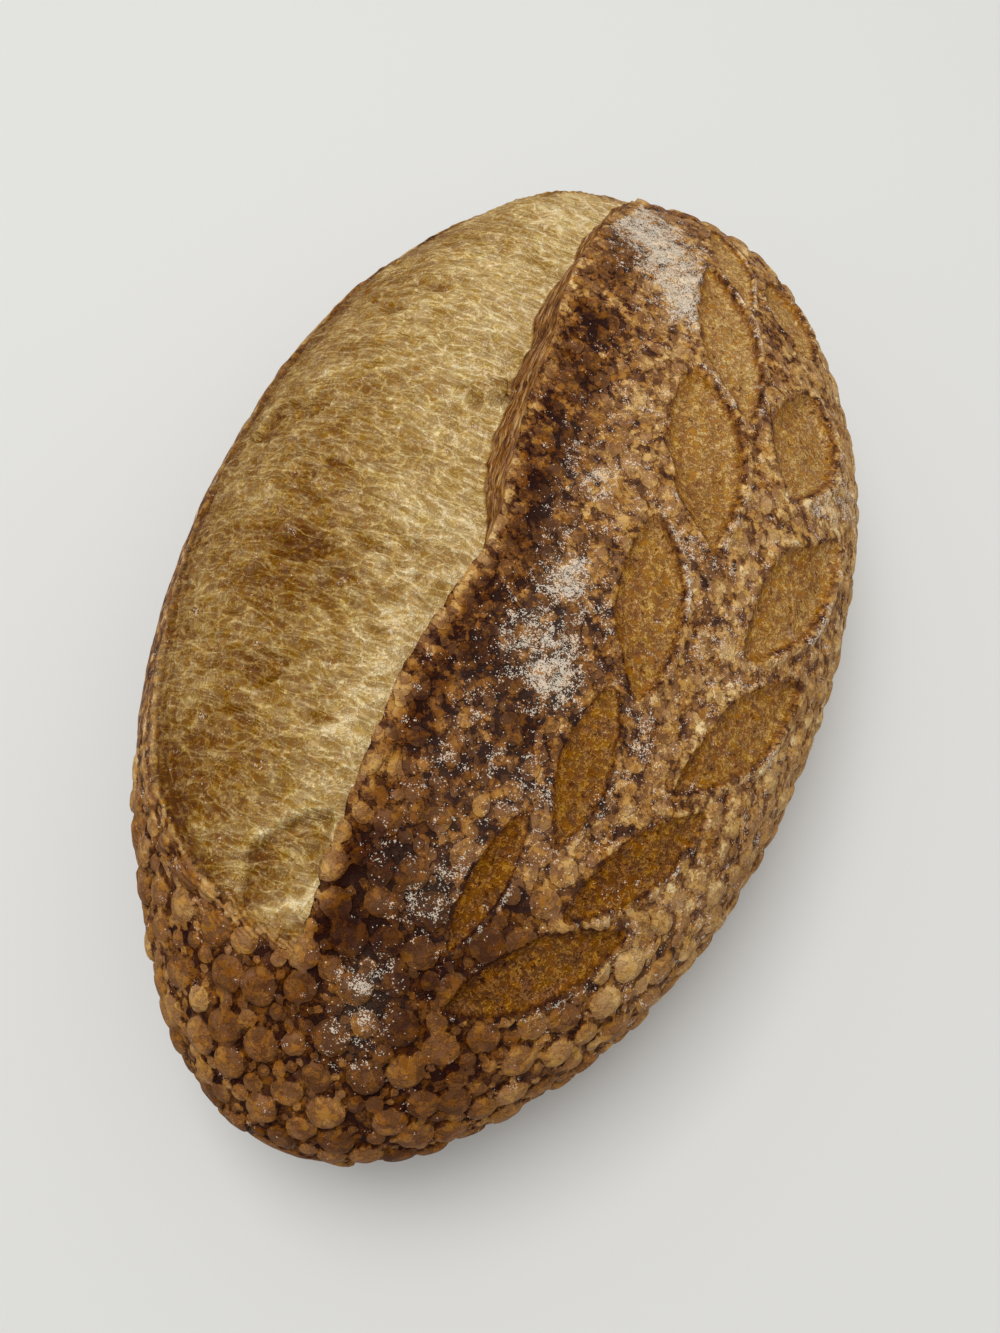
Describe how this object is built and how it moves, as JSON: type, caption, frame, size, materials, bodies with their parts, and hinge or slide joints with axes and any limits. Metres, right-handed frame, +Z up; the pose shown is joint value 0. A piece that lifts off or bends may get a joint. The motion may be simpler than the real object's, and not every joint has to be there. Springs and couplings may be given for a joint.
{
  "type": "sourdough loaf",
  "caption": "Oval hearth-baked sourdough loaf, uncut, with one long open slash and its raised ear on the left and a wheat stalk of leaf cuts on the right.",
  "frame": {"origin": "under the middle of the loaf, on the surface it rests on", "axes": "+Y along the loaf to its far end, +X to the side with the leaf cuts, +Z up"},
  "size_m": [0.1796, 0.29, 0.0915],
  "materials": {
    "crust": "matt baked crust, golden to dark brown, blistered, with a pale open bloom and a dusting of flour"
  },
  "bodies": {
    "root": {"loaf": "crust"}
  },
  "joints": []
}
